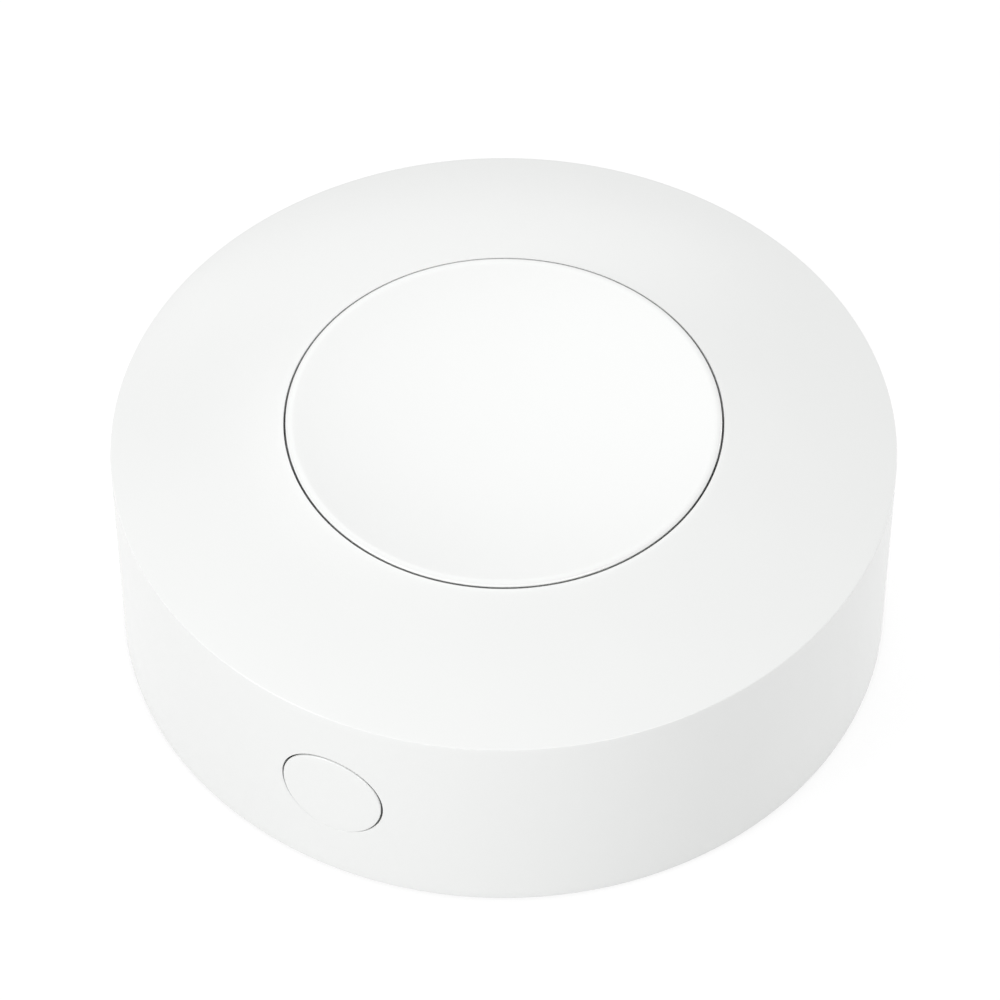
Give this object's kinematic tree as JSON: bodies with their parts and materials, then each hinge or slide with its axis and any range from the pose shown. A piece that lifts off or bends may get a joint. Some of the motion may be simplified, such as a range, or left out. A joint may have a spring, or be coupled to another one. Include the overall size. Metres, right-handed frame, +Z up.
{
  "type": "wireless button switch",
  "caption": "Low round wireless switch with a crowned top, a dished main button, a side button and a twist-off battery door.",
  "frame": {"origin": "centre of the underside of the adhesive pad, which is the face the switch rests on", "axes": "+Z up through the middle of the main button; -Y is the side with the small side button"},
  "size_m": [0.054, 0.054, 0.0192],
  "materials": {
    "white_shell": "fine satin moulding",
    "white_button": "fine satin moulding",
    "white_side_button": "fine satin moulding",
    "white_base": "spark-eroded moulding",
    "white_door": "spark-eroded moulding",
    "foam_tape": "closed-cell foam with a paper liner",
    "zinc_screw": "zinc plated",
    "cell_steel": "nickel plated",
    "cell_cap_steel": "nickel plated",
    "cell_gasket": "moulded polypropylene",
    "sprung_nickel": "stamped and nickel plated",
    "board_laminate": "green solder mask",
    "switch_black": "moulded nylon",
    "stem_black": "moulded nylon",
    "stem_white": "moulded nylon",
    "dome_steel": "pressed stainless steel",
    "cover_steel": "pressed tinned steel",
    "tinned_legs": "tin plated",
    "chip_resin": "moulded epoxy",
    "crystal_lid": "seam-welded lid",
    "capacitor_ceramic": "fired ceramic",
    "led_resin": "clear resin",
    "copper_trace": "gold flash on copper"
  },
  "bodies": {
    "case": {"housing": "white_shell", "base_plate": "white_base", "adhesive_pad": "foam_tape", "base_screws": "zinc_screw", "coin_cell_can": "cell_steel", "coin_cell_cap": "cell_cap_steel", "coin_cell_gasket": "cell_gasket", "positive_contact": "sprung_nickel", "negative_contact": "sprung_nickel", "circuit_board": "board_laminate", "switch_base": "switch_black", "switch_dome": "dome_steel", "switch_cover": "cover_steel", "switch_terminals": "tinned_legs", "side_switch_base": "switch_black", "side_switch_dome": "dome_steel", "side_switch_cover": "cover_steel", "side_switch_terminals": "tinned_legs", "radio_chip": "chip_resin", "crystal": "crystal_lid", "capacitors": "capacitor_ceramic", "status_led": "led_resin", "antenna_trace": "copper_trace"},
    "main_button": {"main_button": "white_button"},
    "main_switch_stem": {"switch_stem": "stem_black"},
    "side_button": {"side_button": "white_side_button"},
    "side_switch_stem": {"side_switch_stem": "stem_white"},
    "battery_door": {"battery_door": "white_door"}
  },
  "joints": [
    {"name": "button_press", "type": "slide", "parent": "case", "child": "main_button", "axis": [0, 0, -1], "range_m": [0, 0.00035], "stiffness_N_per_m": 5000, "springref_m": -0.0001},
    {"name": "switch_press", "type": "slide", "parent": "case", "child": "main_switch_stem", "axis": [0, 0, -1], "range_m": [0, 0.00035], "deforming": ["switch_dome"]},
    {"name": "side_press", "type": "slide", "parent": "case", "child": "side_button", "axis": [0, 1, 0], "range_m": [0, 0.00025], "stiffness_N_per_m": 6000, "springref_m": -0.0001},
    {"name": "side_switch_press", "type": "slide", "parent": "case", "child": "side_switch_stem", "axis": [0, 1, 0], "range_m": [0, 0.00025], "deforming": ["side_switch_dome"]},
    {"name": "door_twist", "type": "hinge", "parent": "case", "child": "battery_door", "pos_m": [0, 0, 0.001], "axis": [0, 0, -1], "range_deg": [0, 30]}
  ],
  "couplings": [
    {"joint": "switch_press", "follows": "button_press", "ratio": 1},
    {"joint": "side_switch_press", "follows": "side_press", "ratio": 1}
  ]
}
